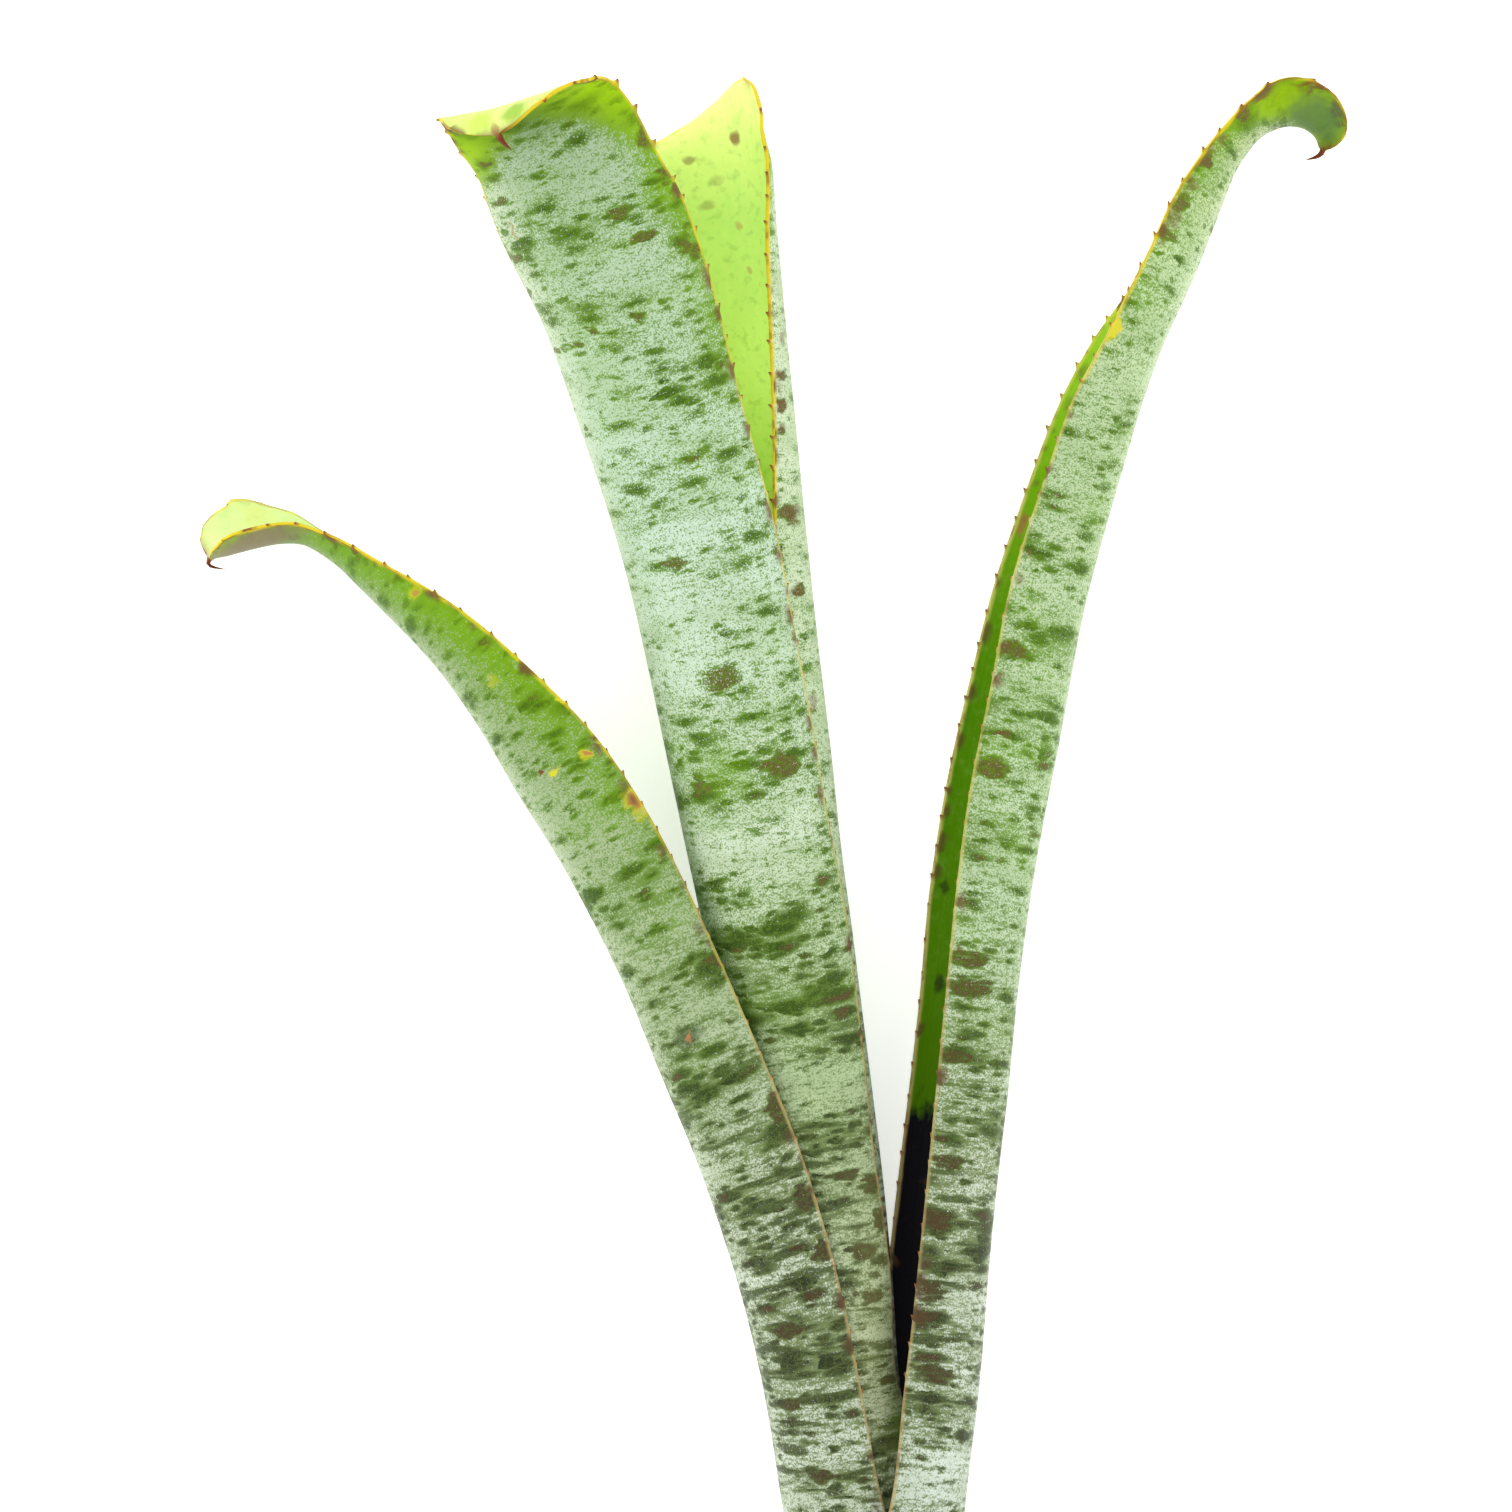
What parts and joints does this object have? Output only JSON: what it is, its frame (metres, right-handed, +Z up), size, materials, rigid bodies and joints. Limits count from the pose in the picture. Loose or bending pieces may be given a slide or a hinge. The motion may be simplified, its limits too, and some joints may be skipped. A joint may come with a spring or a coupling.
{
  "type": "tubular bromeliad plant",
  "caption": "Tubular bromeliad lying on its back: banded strap leaves with toothed margins rolled into a tall tube over a short stem, tips flaring and curling outwards",
  "frame": {"origin": "the middle of the flat spot under the leaf tube, where the lying plant rests", "axes": "+Y runs from the stem to the leaf tips along the surface, +Z is up away from the surface, +X is towards the leaf that leans right"},
  "size_m": [0.3016, 0.476, 0.0908],
  "materials": {
    "leaf_right": "grey-green leaf with pale scurf bands and dark mottling",
    "leaf_left": "grey-green leaf with pale scurf bands and dark mottling",
    "leaf_centre": "silvery-green leaf with pale scurf bands and dark mottling",
    "leaf_back": "bright yellow-green leaf, smooth inner face",
    "stem": "matt brown stem with leaf scars"
  },
  "bodies": {
    "root": {"leaf_right": "leaf_right", "leaf_left": "leaf_left", "leaf_centre": "leaf_centre", "leaf_back": "leaf_back", "stem": "stem"}
  },
  "joints": []
}
